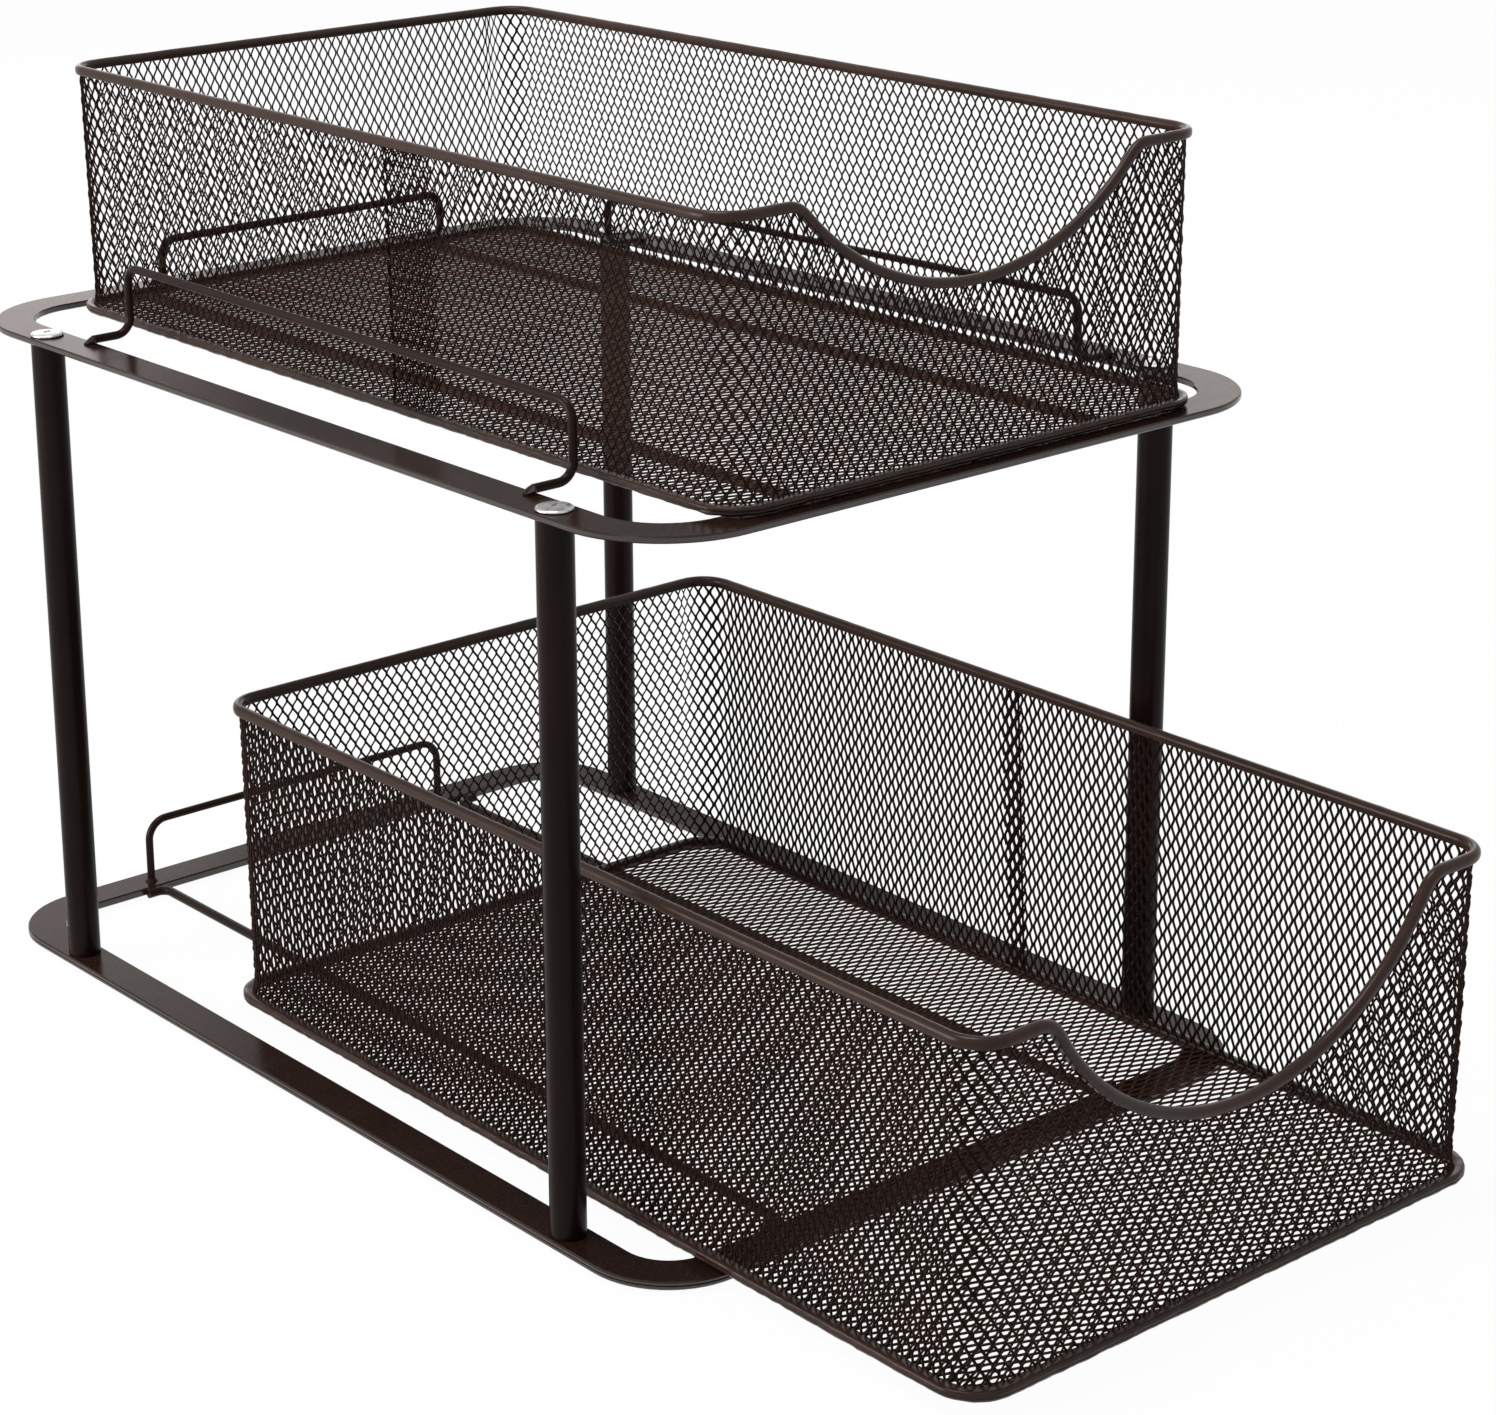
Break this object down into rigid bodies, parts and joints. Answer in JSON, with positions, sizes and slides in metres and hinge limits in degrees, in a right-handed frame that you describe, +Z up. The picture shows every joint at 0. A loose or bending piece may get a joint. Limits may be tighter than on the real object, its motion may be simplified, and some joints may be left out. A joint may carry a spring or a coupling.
{
  "type": "pull out cabinet basket",
  "caption": "Tiered cabinet organiser: flat steel rings on tube posts carry mesh baskets with scooped fronts that slide out.",
  "frame": {"origin": "on the floor under the middle of the footprint, with the lower basket drawn out as stored", "axes": "+Z up; -Y is the way the baskets pull out; +X to the right seen from the front"},
  "size_m": [0.277, 0.5108, 0.3365],
  "materials": {
    "coat": "coffee-brown powder coat, satin",
    "wire_coat": "coffee-brown powder coat on wire, satin",
    "mesh_coat": "coffee-brown powder coat on expanded metal, satin",
    "zinc": "bright zinc plate"
  },
  "bodies": {
    "frame": {"base_ring": "coat", "top_ring": "coat", "post_front_left": "coat", "post_front_right": "coat", "post_back_left": "coat", "post_back_right": "coat", "post_inserts": "zinc", "top_screws": "zinc", "base_screws": "zinc", "base_runner_left": "wire_coat", "base_runner_right": "wire_coat", "top_runner_left": "wire_coat", "top_runner_right": "wire_coat", "guard_base_back": "wire_coat", "guard_top_back": "wire_coat", "guard_top_left": "wire_coat", "guard_top_right": "wire_coat"},
    "upper_basket": {"upper_rim_wire": "wire_coat", "upper_base_channel": "wire_coat", "upper_mesh_front": "mesh_coat", "upper_mesh_back": "mesh_coat", "upper_mesh_left": "mesh_coat", "upper_mesh_right": "mesh_coat", "upper_mesh_corners": "mesh_coat", "upper_mesh_floor": "mesh_coat"},
    "lower_basket": {"lower_rim_wire": "wire_coat", "lower_base_channel": "wire_coat", "lower_mesh_front": "mesh_coat", "lower_mesh_back": "mesh_coat", "lower_mesh_left": "mesh_coat", "lower_mesh_right": "mesh_coat", "lower_mesh_corners": "mesh_coat", "lower_mesh_floor": "mesh_coat"}
  },
  "joints": [
    {"name": "upper_slide", "type": "slide", "parent": "frame", "child": "upper_basket", "axis": [0, -1, 0], "range_m": [-0.0017, 0.16]},
    {"name": "lower_slide", "type": "slide", "parent": "frame", "child": "lower_basket", "axis": [0, -1, 0], "range_m": [-0.11, 0.06]}
  ]
}
